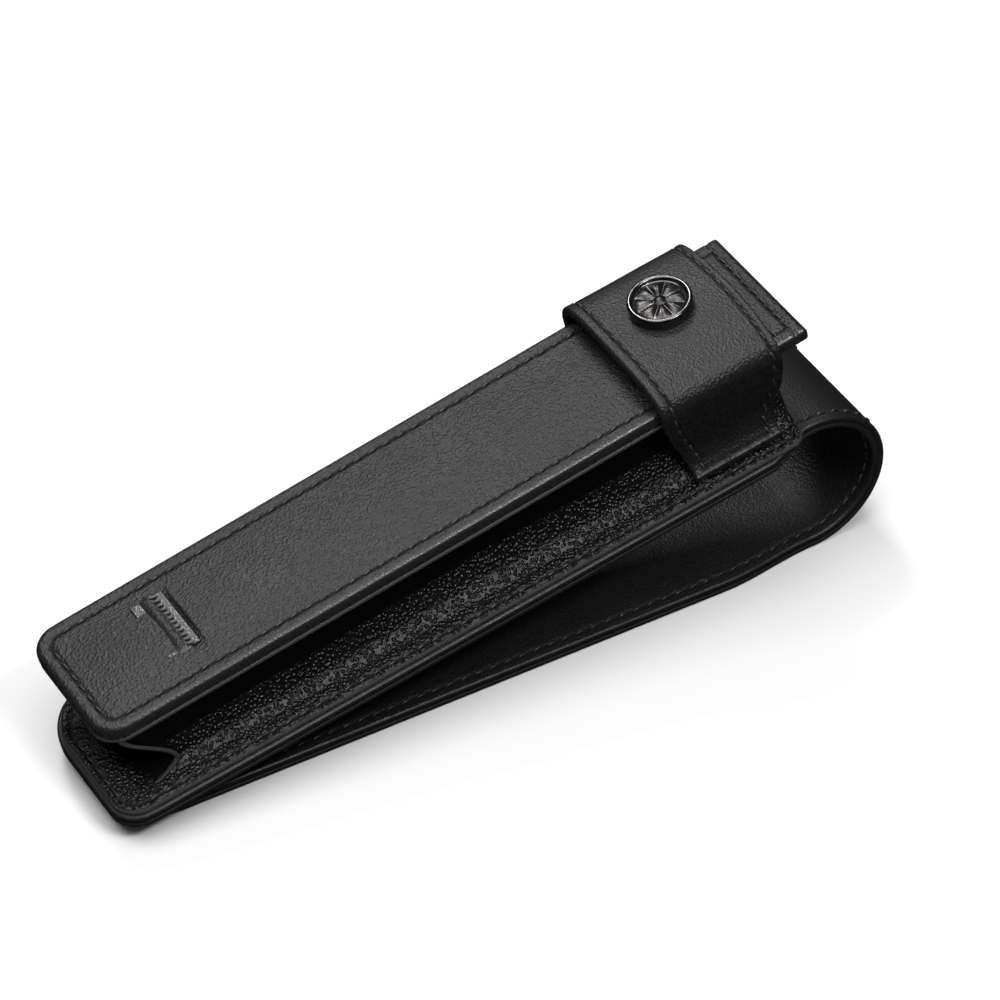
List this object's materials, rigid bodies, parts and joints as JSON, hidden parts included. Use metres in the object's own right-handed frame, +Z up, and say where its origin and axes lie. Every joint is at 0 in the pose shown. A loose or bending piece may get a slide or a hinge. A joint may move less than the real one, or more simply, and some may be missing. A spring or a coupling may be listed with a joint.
{
  "type": "fountain pen case",
  "caption": "Slim leather pouch for one pen, with a folded gusset, a keeper strap with a riveted medallion, and a long flap that loops over the mouth and folds back underneath.",
  "frame": {"origin": "centre of the overall box, on the surface that the case lies on", "axes": "+X along the case from the closed end to the loop of the flap, +Y across it, +Z up"},
  "size_m": [0.16, 0.0394, 0.0548],
  "materials": {
    "pebbled_leather": "fine pebbled calf, satin, near black",
    "smooth_leather": "smooth lining calf, satin, near black",
    "gusset_leather": "glossy grained leather, black",
    "strap_leather": "soft nappa, satin, warm black",
    "pocket_lining": "fine suede-cloth lining, matt black",
    "board": "pressed fibre board",
    "thread": "waxed black thread",
    "gunmetal": "polished black nickel",
    "gunmetal_relief": "polished black nickel relief",
    "brass": "plain brass rivet"
  },
  "bodies": {
    "pouch": {"back_leather": "pebbled_leather", "back_board": "board", "back_lining": "smooth_leather", "front_leather": "pebbled_leather", "front_board": "board", "front_lining": "pocket_lining", "gusset_leather": "gusset_leather", "gusset_lining": "pocket_lining", "keeper_strap": "strap_leather", "keeper_lining": "smooth_leather", "medallion_cap": "gunmetal", "medallion_rosette": "gunmetal_relief", "rivet_post": "brass", "rivet_washer": "brass", "front_stitches": "thread", "mouth_stitches": "thread", "gusset_stitches": "thread", "keeper_stitches": "thread", "slit_stitches": "thread", "slit_welt": "pebbled_leather"},
    "bend_1": {"bend_leather_1": "pebbled_leather", "bend_lining_1": "smooth_leather"},
    "bend_2": {"bend_leather_2": "pebbled_leather", "bend_lining_2": "smooth_leather"},
    "bend_3": {"bend_leather_3": "pebbled_leather", "bend_lining_3": "smooth_leather"},
    "flap": {"flap_leather": "pebbled_leather", "flap_board": "board", "flap_lining": "smooth_leather", "flap_stitches": "thread"}
  },
  "joints": [
    {"name": "flap_bend", "type": "hinge", "parent": "pouch", "child": "bend_1", "pos_m": [0.06797, -0.0021, 0.02917], "axis": [0, -1, 0], "range_deg": [0, 47.5], "deforming": ["bend_leather_1", "bend_lining_1"]},
    {"name": "flap_bend_2", "type": "hinge", "parent": "bend_1", "child": "bend_2", "pos_m": [0.07703, -0.0021, 0.02223], "axis": [0, -1, 0], "range_deg": [0, 47.5], "deforming": ["bend_leather_1", "bend_lining_1", "bend_leather_2", "bend_lining_2"]},
    {"name": "flap_bend_3", "type": "hinge", "parent": "bend_2", "child": "bend_3", "pos_m": [0.07802, -0.0021, 0.01086], "axis": [0, -1, 0], "range_deg": [0, 47.5], "deforming": ["bend_leather_2", "bend_lining_2", "bend_leather_3", "bend_lining_3"]},
    {"name": "flap_bend_4", "type": "hinge", "parent": "bend_3", "child": "flap", "pos_m": [0.07031, -0.0021, 0.00245], "axis": [0, -1, 0], "range_deg": [0, 47.5], "deforming": ["bend_leather_3", "bend_lining_3"]}
  ],
  "couplings": [
    {"joint": "flap_bend_2", "follows": "flap_bend", "ratio": 1},
    {"joint": "flap_bend_3", "follows": "flap_bend", "ratio": 1},
    {"joint": "flap_bend_4", "follows": "flap_bend", "ratio": 1}
  ]
}
